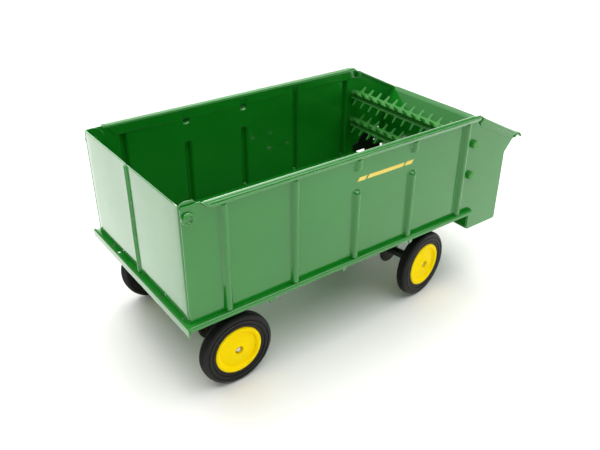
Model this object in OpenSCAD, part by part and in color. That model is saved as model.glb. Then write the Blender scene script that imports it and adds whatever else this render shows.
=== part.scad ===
// Toy self-unloading forage wagon: pressed-steel box on a steered four-wheel gear.
// Millimetres. +X points to the discharge end and the tongue, +Y to the left side, +Z up, wheels stand on Z = 0.

/* [Box] */
// Outside width over the two side walls
box_w = 132.3; // [120:0.1:145]
// Length of the bed from the rear edge to the cross trough
bed_l = 236; // [220:1:260]
// Height of the bed above the ground
bed_z = 63.7; // [60:0.1:70]
// Height of the top rails above the ground
top_z = 139.3; // [130:0.1:150]
// Sheet thickness
sheet = 0.9; // [0.7:0.05:1.1]
// How far the bed flange stands out beyond the side walls
pan_edge = 3.9; // [3:0.1:5]
// Depth of the folded side lips of the bed
side_lip = 2.8; // [2:0.1:4]
// Depth of the folded rear lip of the bed
rear_lip = 5.4; // [4:0.1:7]

/* [Side walls] */
// Width of each pressed rib
rib_w = 6.6; // [5:0.1:8]
// Height of each pressed rib above the wall
rib_d = 3.1; // [2:0.1:4]
// Width of the out-turned top rail
rail_w = 5.4; // [4:0.1:7]
// Depth of the rail's down-turned lip
rail_lip = 3.3; // [2.5:0.1:4.5]

/* [Discharge end] */
// Length of the cross trough
trough_l = 32.1; // [28:0.1:36]
// Height of the trough floor above the ground
trough_z = 45.3; // [44:0.1:48]
// Radius of the beater journals
journal_r = 3.0; // [2.5:0.05:3.5]
// Radius at the tips of the beater teeth
tooth_r = 9.6; // [8:0.1:11]
// Spacing of the beater teeth
tooth_pitch = 9.6; // [8:0.1:12]

/* [Wheels] */
// Tyre diameter
tyre_d = 50.8; // [46:0.1:54]
// Tyre width
tyre_w = 8.6; // [7:0.1:10]
// Radius of the hub disc
hub_r = 16.65; // [14:0.05:18]
// Distance from the centre line to the outer tyre face
tyre_y = 62.8; // [60:0.1:64]
// Radius of the steel axles
axle_r = 2.0; // [1.5:0.05:2.5]
// Distance of the rear axle from the rear edge of the box
rear_x = 33.1; // [28:0.1:45]
// Distance of the front axle from the rear edge of the box
front_x = 188.4; // [170:0.1:195]

/* [Steering and tongue] */
// Angle at which the front gear stands, from straight ahead towards +Y
steer = 9.4; // [-20:0.1:18]
// Length from the kingpin to the hitch eye
tongue_l = 126; // [110:1:150]
// Radius of the hitch eye
eye_r = 2.3; // [1.8:0.05:2.8]

/* [Hidden] */

green = "forestgreen";
black = "#1b1b1c";
yellow = "gold";
steel = "silver";

hw = box_w/2;                    // outer face of a side wall
axle_z = tyre_d/2;
eye_out = 4.6;                   // outer radius of the tongue's eye
tip_x = front_x + tongue_l*cos(steer) + eye_out;
rear_end = -3.7;                 // rear face of the bed's rear lip
x_mid = (rear_end + tip_x)/2;    // the origin lies half way along the whole wagon
trough_x = bed_l + sheet;        // inner rear face of the trough
front_wall = trough_x + trough_l - sheet;  // outer face of the front wall is trough_l beyond the bed
beat_x = 231;
beat_zu = 117.5;
beat_zl = 93.2;
hinge_x = 3.7;
hinge_z = 132;
band_z = 131.2;                  // lower edge of the doubled band inside the top of the wall
band_t = 0.35;                   // thickness that this band adds inside
hood_t = 0.6;                    // thickness of the strip folded along the sloping edge
rib_x = [25.1, 73.4, 121.7, 170.3, 221];
slope = tan(26.5);
run = 0.05;                      // running clearance on a radius
wheel_mid = tyre_y - tyre_w/2;
ear_y = 30;                      // axle bracket ears, outer face
ear_r = 11;
carrier_top = 46.4;
piv_x = 21;                      // tongue hinge, ahead of the kingpin
piv_z = 27;
tab_x = [56.6, 115, 176];
ear_top_r = 8.2;                 // rounded top of the tailgate's ears, a little above the side walls

// Height of the sloping upper edge at the discharge end
function edge_z(x) = 136.3 - slope*(x - bed_l);

// Unit normal of a segment, to its left
function nrm(a, b) = let (d = b - a, l = norm(d)) [-d[1]/l, d[0]/l];
// Mitred offset of an open path by t to its left
function off(p, t) = [for (i = [0:len(p)-1])
  i == 0 ? p[0] + t*nrm(p[0], p[1]) :
  i == len(p)-1 ? p[i] + t*nrm(p[i-1], p[i]) :
  let (a = nrm(p[i-1], p[i]), b = nrm(p[i], p[i+1]), s = a + b) p[i] + s*(2*t/(s*s))];
function rev(p) = [for (i = [len(p)-1:-1:0]) p[i]];
// Bent sheet: closed outline of a path with thickness t to its left
module bent(p, t) { polygon(concat(p, rev(off(p, t)))); }

// A plate in the XZ plane whose outer face is at y
module wall(y, t, pts) { translate([0, y, 0]) rotate([90, 0, 0]) linear_extrude(t) polygon(pts); }
// An XZ outline extruded across the box from y0 to y1
module across(y0, y1) { translate([0, y1, 0]) rotate([90, 0, 0]) linear_extrude(y1 - y0) children(); }

module placed() { translate([-x_mid, 0, 0]) children(); }
module steered() { placed() translate([front_x, 0, 0]) rotate([0, 0, steer]) children(); }

// Cross-section of a pressed rib in XY, standing out of the wall face
module rib_profile(w, d) {
  polygon([[-w/2, -sheet], [-w/2, 0], [-w/2 + 0.9, d*0.62], [-w/2 + 1.9, d*0.93], [-0.9, d], [0.9, d],
    [w/2 - 1.9, d*0.93], [w/2 - 0.9, d*0.62], [w/2, 0], [w/2, -sheet]]);
}
module rib_solid(x, z0, z1, g) {
  translate([x, hw, z0 + g]) linear_extrude(z1 - z0 - 2*g)
    rib_profile(rib_w - 2*g, rib_d - g);
}

// One side wall, drawn for the left side. drop: the wall reaches down to the trough floor.
// cut: indices of ribs that are interrupted by the flat lettering field.
module side_panel(drop, cut) {
  side_body(drop, cut);
  // doubled band inside the top of the wall; its rear end is cut on the slant to clear the tailgate's ear
  wall(hw - sheet + 0.05, band_t + 0.05, [[20.6, band_z], [13.6, top_z - 0.6], [231, top_z - 0.6], [231, band_z]]);
}
module side_body(drop, cut) {
  fx = bed_l + sheet + trough_l;
  main = concat([[0, bed_z], [0, top_z], [231.6, top_z], [232.6, 137.2], [233.4, 133.4], [235.2, 133.2], [236, edge_z(236)],
    [278.6, edge_z(278.6)], [278.4, 113.2], [276.3, 111.8], [fx - 0.8, 101.7]],
    drop ? [[fx, trough_z + 0.5], [fx - 0.6, trough_z], [bed_l + sheet + 0.1, trough_z], [bed_l + sheet + 0.1, bed_z]]
         : [[fx, bed_z]]);
  difference() {
    union() {
      wall(hw, sheet, main);
      // strip folded down outside along the sloping end
      wall(hw + hood_t, hood_t + 0.1, [[236, edge_z(236)], [278.4, edge_z(278.4)], [276.6, edge_z(276.6) - 5.6], [237.2, edge_z(237.2) - 5.6]]);
      // out-turned rail with its lip, ends cut on the slant
      intersection() {
        across_rail();
        translate([0, 0, top_z - 20]) linear_extrude(40)
          polygon([[12.6, hw], [16.6, hw + 20], [232 - 4, hw + 20], [232, hw]]);
      }
      for (i = [0:4]) if (len([for (c = cut) if (c == i) c]) > 0) {
        rib_solid(rib_x[i], bed_z + 0.6, 113.5, 0);
        rib_solid(rib_x[i], 127, top_z - 1.2, 0);
      } else rib_solid(rib_x[i], bed_z + 0.6, top_z - 1.2, 0);
      // tabs that pass through the bed
      for (x = tab_x) translate([x - 2.4, hw - sheet, bed_z - 7]) cube([4.8, sheet, 7.5]);
    }
    for (i = [0:4]) if (len([for (c = cut) if (c == i) c]) > 0) {
      rib_hollow(rib_x[i], bed_z + 0.6, 113.5);
      rib_hollow(rib_x[i], 127, band_z + 0.6);
    } else rib_hollow(rib_x[i], bed_z + 0.6, band_z + 0.6);
    // rivet hole of the tailgate hinge and the two beater bearings
    for (p = [[hinge_x, hinge_z, 1.6], [beat_x, beat_zu, journal_r + run], [beat_x, beat_zl, journal_r + run]])
      translate([p[0], hw + 5, p[1]]) rotate([90, 0, 0]) cylinder(r = p[2], h = 12, $fn = 48);
  }
}
module across_rail() {
  translate([0, 0, 0]) rotate([90, 0, 90]) linear_extrude(260)
    polygon([[hw, top_z - sheet], [hw, top_z], [hw + rail_w - 0.5, top_z], [hw + rail_w, top_z - 0.5],
      [hw + rail_w, top_z - rail_lip], [hw + rail_w - sheet, top_z - rail_lip], [hw + rail_w - sheet, top_z - sheet]]);
}
module rib_hollow(x, z0, z1) {
  translate([x, hw, z0 + sheet]) linear_extrude(z1 - z0 - 2*sheet)
    polygon([[-rib_w/2 + 0.8, -sheet - 1], [-rib_w/2 + 0.8, -0.2], [-rib_w/2 + 1.6, (rib_d - sheet)*0.75], [-0.8, rib_d - sheet],
      [0.8, rib_d - sheet], [rib_w/2 - 1.6, (rib_d - sheet)*0.75], [rib_w/2 - 0.8, -0.2], [rib_w/2 - 0.8, -sheet - 1]]);
}

module side_panel_right() { color(green) placed() mirror([0, 1, 0]) side_panel(true, [2, 3]); }
module side_panel_left() {
  color(green) placed() difference() {
    side_panel(false, [1, 2]);
    // two small holes near the front corner
    for (p = [[262.6, 80.7], [258.6, 69.6]])
      translate([p[0], hw + 5, p[1]]) rotate([90, 0, 0]) cylinder(r = 0.9, h = 12, $fn = 32);
  }
}

module bed_pan() {
  color(green) placed() difference() {
    union() {
      translate([rear_end, -hw - pan_edge, bed_z - sheet]) cube([bed_l + sheet - rear_end, box_w + 2*pan_edge, sheet]);
      translate([rear_end, -hw - pan_edge, bed_z - rear_lip]) cube([sheet, box_w + 2*pan_edge, rear_lip]);
      for (s = [-1, 1]) translate([rear_end, s > 0 ? hw + pan_edge - sheet : -hw - pan_edge, bed_z - side_lip])
        cube([bed_l - rear_end - 0.3, sheet, side_lip]);
    }
    for (s = [-1, 1]) {
      translate([-1.3, s*31, bed_z - 3]) cylinder(r = 1.25, h = 6, $fn = 40);
      for (x = tab_x) translate([x - 2.5, s*(hw - sheet/2) - 0.55, bed_z - 3]) cube([5, 1.1, 6]);
    }
    // rivet holes
    for (p = rear_rivets()) translate([p[0], p[1], bed_z - 3]) cylinder(r = 1.5, h = 6, $fn = 40);
    for (p = front_rivets()) translate([p[0], p[1], bed_z - 3]) cylinder(r = 1.5, h = 6, $fn = 40);
  }
}
function rear_rivets() = [for (x = [-7, 7], y = [-18, 18]) [rear_x + x, y]];
function front_rivets() = [for (x = [-10, 10], y = [-14, 14]) [front_x + x, y]];

module front_panel() {
  y = hw - sheet;
  fx = bed_l + sheet + trough_l;
  color(green) placed() {
    across(-y, y) bent([[fx - sheet, trough_z], [fx - sheet - 0.8, 101.9], [fx + 8.2, 112.4], [fx + 10.4, 113.4]], -sheet);
    // hemmed lip, standing a little past the side walls
    across(-hw - 1.6, hw + 1.6) polygon([[fx + 9.7, 112.1], [fx + 9.7, 114.0], [fx + 10.8, 114.9], [fx + 12.4, 115.0],
      [fx + 14.2, 113.9], [fx + 15.2, 112.3], [fx + 15.0, 111.4], [fx + 14.2, 111.2], [fx + 12.6, 112.7], [fx + 11.2, 112.9]]);
  }
}

module trough_pan() {
  y = hw - sheet;
  fx = bed_l + sheet + trough_l - sheet;
  color(green) placed() across(-y, y)
    polygon([[bed_l, bed_z - sheet], [bed_l + sheet, bed_z - sheet], [bed_l + sheet, trough_z + sheet + 1],
      [bed_l + sheet + 1, trough_z + sheet], [fx - 0.02, trough_z + sheet], [fx, trough_z], [bed_l + 1, trough_z], [bed_l, trough_z + 1]]);
}

// Black plate inside the left wall that narrows the open end of the trough
module outlet_plate() {
  color(black) placed()
    wall(hw - sheet, 0.9, [[247, trough_z + sheet + 0.1], [265.5, trough_z + sheet + 0.1], [265.5, 64.4], [256, 66], [256, 80], [252, 83], [244.5, 81], [239, 72], [233.4, 70],
      [233.4, bed_z + 0.1], [247, bed_z + 0.1]]);
}

module tailgate() {
  y = hw - sheet - 0.35;
  color(green) placed() difference() {
    union() {
      // sheet with a raised bead down its centre
      translate([0, 0, bed_z + 0.8]) linear_extrude(top_z - bed_z - 0.8)
        polygon([[0.4, -y], [0.4, -2.6], [-1.4, -0.3], [-1.4, 0.3], [0.4, 2.6], [0.4, y], [-0.5, y], [-0.5, 2.9],
          [-2.6, 0.5], [-2.6, -0.5], [-0.5, -2.9], [-0.5, -y]]);
      // rounded ears inside the side walls
      for (s = [-1, 1]) translate([0, s > 0 ? y : -y + sheet, 0]) rotate([90, 0, 0]) linear_extrude(sheet) union() {
        polygon([[0, bed_z + 3], [6.2, bed_z + 4.6], [6.8, bed_z + 7], [6.8, hinge_z - 10], [hinge_x + 6.17, hinge_z - 5.08],
          [hinge_x + 0.9, hinge_z + 1.2], [hinge_x - 1.22, hinge_z + 9.12], [0, top_z]]);
        translate([hinge_x + 0.9, hinge_z + 1.2]) circle(r = ear_top_r, $fn = 96);
      }
    }
    for (s = [-1, 1]) translate([hinge_x, s*hw + 8, hinge_z]) rotate([90, 0, 0]) cylinder(r = 1.6 + run, h = 16, $fn = 48);
    // keep the ear's round corner flush with the outer face of the sheet
    translate([-8, -hw, hinge_z - 10]) cube([7.5, 30, 20]);
    translate([-8, hw - 30, hinge_z - 10]) cube([7.5, 30, 20]);
  }
}

// Rivet with a dished head outside the wall and a flat head inside the ear
module tailgate_rivets() {
  color(green) placed() for (s = [-1, 1]) translate([hinge_x, s*hw, hinge_z]) rotate([s*-90, 0, 0])
    rotate_extrude($fn = 64) polygon([[0, -3.4], [2.6, -3.4], [3.0, -3.0], [3.0, -2.45], [1.6, -2.45], [1.6, 0], [3.9, 0], [3.9, 1.0],
      [3.5, 1.6], [2.9, 1.8], [2.3, 1.5], [1.5, 0.9], [0, 0.8]]);
}

// A row of teeth as an outline: y along the shaft, r outwards
module tooth_row() {
  n = 13;
  span = tooth_pitch*(n - 1)/2;
  polygon(concat([[-span - 7.2, 0]], [[-span - 7.2, 4.1]],
    [for (i = [0:n-1]) let (c = -span + i*tooth_pitch) each [[c - 1.35, 4.1], [c - 0.95, 6], [c - 0.6, tooth_r - 0.5],
      [c - 0.3, tooth_r], [c + 0.3, tooth_r], [c + 0.6, tooth_r - 0.5], [c + 0.95, 6], [c + 1.35, 4.1]]],
    [[span + 7.2, 4.1], [span + 7.2, 0]]));
}
module beater(z) {
  color("limegreen") placed() translate([beat_x, 0, z]) {
    // journals and shaft
    rotate([90, 0, 0]) cylinder(r = journal_r, h = 2*(hw + 2.6), center = true, $fn = 64);
    rotate([90, 0, 0]) cylinder(r = 2.8, h = 2*(hw - sheet - 0.4), center = true, $fn = 48);
    for (a = [45:90:315]) rotate([0, a, 0]) rotate([90, 0, 90]) translate([0, 0, -0.8]) linear_extrude(1.6) tooth_row();
  }
}
module beater_upper() { beater(beat_zu); }
module beater_lower() { beater(beat_zl); }

// Rounded axle ear in the XZ plane, from z = top down around the axle
module ear(y, top) {
  translate([0, y + sheet*0.6, 0]) rotate([90, 0, 0]) linear_extrude(sheet*1.2) difference() {
    union() { translate([0, axle_z]) circle(r = ear_r, $fn = 96); translate([-ear_r, axle_z]) square([2*ear_r, top - axle_z]); }
    translate([0, axle_z]) circle(r = axle_r, $fn = 64);
  }
}

module rear_axle_bracket() {
  t = sheet*1.2;
  top = bed_z - sheet;
  color(black) placed() translate([rear_x, 0, 0]) {
    difference() {
      translate([-ear_r, -ear_y + 0.1, top - t]) cube([2*ear_r, 2*ear_y - 0.2, t]);
      for (p = [for (x = [-7, 7], y = [-18, 18]) [x, y]]) translate([p[0], p[1], top - 4]) cylinder(r = 1.5, h = 6, $fn = 40);
    }
    for (s = [-1, 1]) ear(s*(ear_y - 0.54), top);
    // folded stiffening edges along the plate
    for (s = [-1, 1]) translate([s > 0 ? ear_r - t : -ear_r, -ear_y + 0.6, top - 7]) cube([t, 2*ear_y - 1.2, 7]);
  }
}
module rivets(pts, top, bottom) {
  for (p = pts) translate([p[0], p[1], 0]) rotate_extrude($fn = 40)
    polygon([[0, bottom - 1.1], [1.6, bottom - 1.1], [2.5, bottom - 0.5], [2.5, bottom], [1.5, bottom], [1.5, top], [2.7, top],
      [2.5, top + 0.6], [1.5, top + 1.0], [0, top + 1.1]]);
}
module rear_bracket_rivets() { color(steel) placed() rivets(rear_rivets(), bed_z, bed_z - sheet - sheet*1.2); }
module front_pedestal_rivets() { color(steel) placed() rivets(front_rivets(), bed_z, bed_z - sheet - sheet*1.2); }

// Hat-shaped seat under the bed that carries the kingpin
module front_pedestal() {
  t = sheet*1.2;
  top = bed_z - sheet;
  low = carrier_top + 0.3;
  color(black) placed() translate([front_x, 0, 0]) difference() {
    translate([-14, 0, 0]) rotate([90, 0, 90]) linear_extrude(28)
      bent([[-20, top], [-9.5, top], [-7, low + t], [7, low + t], [9.5, top], [20, top]], -t);
    translate([0, 0, low - 2]) cylinder(r = 2.5, h = 6, $fn = 48);
    for (p = [for (x = [-10, 10], y = [-14, 14]) [x, y]]) translate([p[0], p[1], top - 4]) cylinder(r = 1.5, h = 6, $fn = 40);
  }
}
module kingpin() {
  t = sheet*1.2;
  low = carrier_top + 0.3;
  color(steel) placed() translate([front_x, 0, 0]) rotate_extrude($fn = 64)
    polygon([[0, carrier_top - t - 1.6], [2.6, carrier_top - t - 1.6], [4.2, carrier_top - t - 0.9], [4.2, carrier_top - t - 0.1], [2.5, carrier_top - t - 0.1],
      [2.5, low + t], [4.2, low + t], [4.0, low + t + 0.9], [2.4, low + t + 1.5], [0, low + t + 1.6]]);
}

// Steered axle carrier: an inverted pressed channel with rounded ears and two tongue lugs
module front_axle_carrier() {
  t = sheet*1.2;
  color(black) steered() {
    difference() {
      union() {
        translate([-ear_r, -ear_y + 0.1, carrier_top - t]) cube([2*ear_r, 2*ear_y - 0.2, t]);
        // rear and front folded walls
        translate([-ear_r, -ear_y + 0.6, carrier_top - 9]) cube([t, 2*ear_y - 1.2, 9]);
        translate([ear_r - t, -ear_y + 0.6, carrier_top - 13]) cube([t, 2*ear_y - 1.2, 13]);
      }
      translate([0, 0, carrier_top - 4]) cylinder(r = 2.5 + run, h = 8, $fn = 64);
    }
    for (s = [-1, 1]) ear(s*(ear_y - 0.54), carrier_top);
    // tongue lugs
    for (s = [-1, 1]) translate([0, s*8.4 + 0.54, 0]) rotate([90, 0, 0]) linear_extrude(1.08) difference() {
      union() {
        polygon([[ear_r - t, carrier_top - 13], [ear_r - t, carrier_top], [ear_r, carrier_top], [piv_x + 3.2, piv_z + 3.4],
          [piv_x + 4, piv_z - 1], [piv_x - 3, piv_z - 3.4]]);
        translate([piv_x, piv_z]) circle(r = 4.2, $fn = 64);
      }
      translate([piv_x, piv_z]) circle(r = 1.6, $fn = 48);
    }
  }
}
module axle(h) {
  // rod with peened ends sunk in the hubs
  rotate([90, 0, 0]) rotate_extrude($fn = 64)
    polygon([[0, -h], [1.5, -h], [2.6, -h + 0.5], [2.6, -h + 0.9], [axle_r, -h + 0.9], [axle_r, h - 0.9], [2.6, h - 0.9],
      [2.6, h - 0.5], [1.5, h], [0, h]]);
}
module rear_axle() { color(steel) placed() translate([rear_x, 0, axle_z]) axle(tyre_y - 0.5); }
module front_axle() { color(steel) steered() translate([0, 0, axle_z]) axle(tyre_y - 0.5); }
module spacers() {
  for (s = [-1, 1]) translate([0, s*(ear_y + 10.35), axle_z]) rotate([90, 0, 0]) difference() {
    cylinder(r = 3.4, h = 20.5, center = true, $fn = 64);
    cylinder(r = axle_r, h = 30, center = true, $fn = 64);
  }
}
module rear_spacers() { color(black) placed() translate([rear_x, 0, 0]) spacers(); }
module front_spacers() { color(black) steered() spacers(); }

tongue_ang = asin((piv_z - 1.7)/(tongue_l - piv_x - 8));
// Pressed channel tongue that slopes from its hinge to a level eye on the ground
module tongue() {
  w = 15.4;
  L = tongue_l - piv_x;
  color(black) steered() {
    difference() {
      union() {
        // web
        translate([0, 5, 0]) rotate([90, 0, 0]) linear_extrude(10)
          bent([[piv_x + 6.2, piv_z + 2.6 - 6.2*tan(tongue_ang)], [tongue_l - 9, 1.6], [tongue_l - 4, 1.6]], -1.5);
        // side flanges
        for (s = [-1, 1]) translate([0, s*7 + 0.7, 0]) rotate([90, 0, 0]) linear_extrude(1.4)
          polygon([[piv_x - 2.6, piv_z - 2.9], [piv_x - 3.6, piv_z], [piv_x - 2.2, piv_z + 3.2], [piv_x, piv_z + 3.9], [piv_x + 6, piv_z + 2.9],
            [piv_x + 40, piv_z + 2.6 - 40*tan(tongue_ang)], [piv_x + 40, piv_z - 2.4 - 40*tan(tongue_ang)], [piv_x + 8, piv_z - 5.4 - 4*tan(tongue_ang)]]);
        // plate between the flanges behind the web
        translate([0, 7, 0]) rotate([90, 0, 0]) linear_extrude(14)
          bent([[piv_x + 6, piv_z + 2.6 - 6*tan(tongue_ang)], [piv_x + 40, piv_z + 2.6 - 40*tan(tongue_ang)]], -1.5);
        // eye
        translate([tongue_l, 0, 0.1]) cylinder(r = eye_out, h = 1.5, $fn = 64);
        translate([tongue_l - 5, -4.4, 0.1]) cube([5, 8.8, 1.5]);
      }
      translate([tongue_l, 0, -3]) cylinder(r = eye_r, h = 12, $fn = 64);
      translate([piv_x, 15, piv_z]) rotate([90, 0, 0]) cylinder(r = 1.6 + run, h = 30, $fn = 48);
    }
  }
}
module tongue_pin() {
  color(steel) steered() translate([piv_x, 0, piv_z]) rotate([90, 0, 0]) rotate_extrude($fn = 48)
    polygon([[0, -10.4], [2.2, -10.4], [2.9, -9.9], [2.9, -8.94], [1.6, -8.94], [1.6, 8.94], [2.9, 8.94], [2.9, 9.9], [2.2, 10.4], [0, 10.4]]);
}

// Tyre cross-section: radius and distance from the middle plane
module tyre() {
  w = tyre_w/2;
  R = tyre_d/2;
  rotate_extrude($fn = 128) polygon([[hub_r, -w + 0.6], [hub_r + 0.9, -w + 0.3], [hub_r + 2.2, -w + 0.15], [hub_r + 2.5, -w + 0.5], [hub_r + 2.9, -w + 0.1],
    [hub_r + 5.2, -w], [hub_r + 5.5, -w + 0.4], [hub_r + 5.9, -w], [R - 1.7, -w + 0.45], [R - 0.7, -w + 1.2], [R - 0.15, -w + 2.3], [R, -0.5],
    [R - 0.6, -0.35], [R - 0.6, 0.35], [R, 0.5],
    [R - 0.15, w - 2.3], [R - 0.7, w - 1.2], [R - 1.7, w - 0.45], [hub_r + 5.9, w], [hub_r + 5.5, w - 0.4], [hub_r + 5.2, w], [hub_r + 2.9, w - 0.1],
    [hub_r + 2.5, w - 0.5], [hub_r + 2.2, w - 0.15], [hub_r + 0.9, w - 0.3], [hub_r, w - 0.6]]);
}
// Hub: dished disc with a raised rim ring, outer side towards +Z
module hub() {
  w = tyre_w/2;
  rotate_extrude($fn = 128) polygon([[axle_r + run, -w - 3.2], [4.6, -w - 3.2], [5.2, -w - 2.6], [5.2, -0.8], [12.6, -0.8], [13.2, -w + 1.4], [hub_r, -w + 1.4],
    [hub_r, w - 0.5], [hub_r - 0.5, w - 0.1], [hub_r - 1.4, w + 0.1], [hub_r - 2.6, w - 0.1], [hub_r - 3.3, w - 0.7], [12.4, w - 1.2], [11.9, w - 1.2], [11.3, w - 0.9],
    [3.4, w - 0.9], [3.0, w - 1.2], [3.0, w - 1.45], [axle_r + run, w - 1.45]]);
}
module on_axle(s) { translate([0, s*wheel_mid, axle_z]) rotate([s*-90, 0, 0]) children(); }

module tyre_rear_right() { color(black) placed() translate([rear_x, 0, 0]) on_axle(-1) tyre(); }
module tyre_rear_left() { color(black) placed() translate([rear_x, 0, 0]) on_axle(1) tyre(); }
module tyre_front_right() { color(black) steered() on_axle(-1) tyre(); }
module tyre_front_left() { color(black) steered() on_axle(1) tyre(); }
module hub_rear_right() { color(yellow) placed() translate([rear_x, 0, 0]) on_axle(-1) hub(); }
module hub_rear_left() { color(yellow) placed() translate([rear_x, 0, 0]) on_axle(1) hub(); }
module hub_front_right() { color(yellow) steered() on_axle(-1) hub(); }
module hub_front_left() { color(yellow) steered() on_axle(1) hub(); }

bed_pan();
side_panel_right();
side_panel_left();
front_panel();
trough_pan();
outlet_plate();
tailgate();
tailgate_rivets();
beater_upper();
beater_lower();
rear_axle_bracket();
rear_bracket_rivets();
rear_axle();
rear_spacers();
front_pedestal();
front_pedestal_rivets();
kingpin();
front_axle_carrier();
front_axle();
front_spacers();
tongue();
tongue_pin();
tyre_rear_right();
tyre_rear_left();
tyre_front_right();
tyre_front_left();
hub_rear_right();
hub_rear_left();
hub_front_right();
hub_front_left();
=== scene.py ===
import bpy, bmesh, math
from mathutils import Vector, Matrix, noise


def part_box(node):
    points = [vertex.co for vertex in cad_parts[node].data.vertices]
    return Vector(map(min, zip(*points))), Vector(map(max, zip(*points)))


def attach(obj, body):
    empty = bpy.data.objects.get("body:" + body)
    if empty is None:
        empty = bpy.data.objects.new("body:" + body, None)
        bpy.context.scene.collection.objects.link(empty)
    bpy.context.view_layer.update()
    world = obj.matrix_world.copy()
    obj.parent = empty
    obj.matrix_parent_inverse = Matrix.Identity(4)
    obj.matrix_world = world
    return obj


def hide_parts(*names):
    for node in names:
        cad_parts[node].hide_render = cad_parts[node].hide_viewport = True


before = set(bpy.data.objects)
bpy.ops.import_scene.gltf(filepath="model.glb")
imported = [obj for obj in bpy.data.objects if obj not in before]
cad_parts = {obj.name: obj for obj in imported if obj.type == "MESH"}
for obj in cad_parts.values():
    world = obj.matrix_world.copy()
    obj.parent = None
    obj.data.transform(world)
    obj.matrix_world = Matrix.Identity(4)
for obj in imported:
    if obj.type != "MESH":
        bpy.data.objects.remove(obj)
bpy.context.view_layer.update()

# ------------------------------------------------------------------ frame and sizes
# Lengths below are in millimetres from the rear edge of the box; MM() turns them into the row frame.
XM = -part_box("bed_pan")[0].x*1000 - 3.7
T = 0.9                      # sheet thickness
HW = 66.15                   # outer face of a side wall
BED = 63.7
TOP = 139.3
BEDL = 236.0
FX = BEDL + T + 32.1         # front wall's outer face
BAND = 131.2                 # lower edge of the doubled band inside the top of a wall
SLOPE = math.radians(26.5)
RAIL = 5.4
LIP = 3.3
RIBS = [25.1, 73.4, 121.7, 170.3, 221.0]
RIB_D = 3.1
AXZ = 25.4
REAR_X, FRONT_X = 33.1, 188.4
STEER = math.radians(9.4)
def edge_z(x): return 136.3 - math.tan(SLOPE)*(x - BEDL)
def MM(p): return Vector(((p[0] - XM)/1000, p[1]/1000, p[2]/1000))
def sstep(a, b, x):
    t = min(1, max(0, (x - a)/(b - a))); return t*t*(3 - 2*t)
def lerp(a, b, t): return a + (b - a)*t

# ------------------------------------------------------------------ materials
def new_mat(name):
    m = bpy.data.materials.new(name); m.use_nodes = True
    nt = m.node_tree; nt.nodes.clear()
    out = nt.nodes.new("ShaderNodeOutputMaterial"); out.location = (900, 0)
    b = nt.nodes.new("ShaderNodeBsdfPrincipled"); b.location = (600, 0)
    nt.links.new(b.outputs[0], out.inputs[0])
    return m, nt, b
def N(nt, kind, **kw):
    n = nt.nodes.new(kind)
    for k, v in kw.items():
        if k in n.inputs.keys(): n.inputs[k].default_value = v
        else: setattr(n, k, v)
    return n
def noise_tex(nt, coord, scale, detail=4, rough=0.55, dist=0.0):
    n = N(nt, "ShaderNodeTexNoise", Scale=scale, Detail=detail, Roughness=rough, Distortion=dist)
    nt.links.new(coord, n.inputs["Vector"]); return n.outputs["Fac"]
def ramp(nt, fac, stops):
    r = nt.nodes.new("ShaderNodeValToRGB")
    els = r.color_ramp.elements
    while len(els) > len(stops): els.remove(els[-1])
    while len(els) < len(stops): els.new(0.5)
    for e, (p, c) in zip(els, stops):
        e.position = p; e.color = c if len(c) == 4 else (*c, 1)
    nt.links.new(fac, r.inputs["Fac"]); return r.outputs["Color"]
def mapr(nt, fac, a, b, c, d):
    m = N(nt, "ShaderNodeMapRange"); m.inputs["From Min"].default_value = a; m.inputs["From Max"].default_value = b
    m.inputs["To Min"].default_value = c; m.inputs["To Max"].default_value = d
    nt.links.new(fac, m.inputs["Value"]); return m.outputs["Result"]
def math_n(nt, op, a, b=None, clamp=False):
    m = N(nt, "ShaderNodeMath", operation=op); m.use_clamp = clamp
    for i, v in enumerate([a, b]):
        if v is None: continue
        if isinstance(v, (int, float)): m.inputs[i].default_value = v
        else: nt.links.new(v, m.inputs[i])
    return m.outputs[0]
def mixc(nt, fac, a, b, blend="MIX"):
    m = N(nt, "ShaderNodeMix", data_type="RGBA", blend_type=blend)
    for sock, v in ((m.inputs[0], fac), (m.inputs[6], a), (m.inputs[7], b)):
        if isinstance(v, (int, float)): sock.default_value = v
        elif isinstance(v, tuple): sock.default_value = (*v, 1) if len(v) == 3 else v
        else: nt.links.new(v, sock)
    return m.outputs[2]
def bump(nt, b, height, strength, dist, prev=None):
    n = N(nt, "ShaderNodeBump"); n.inputs["Strength"].default_value = strength; n.inputs["Distance"].default_value = dist
    nt.links.new(height, n.inputs["Height"])
    if prev is not None: nt.links.new(prev, n.inputs["Normal"])
    nt.links.new(n.outputs[0], b.inputs["Normal"]); return n.outputs[0]

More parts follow.
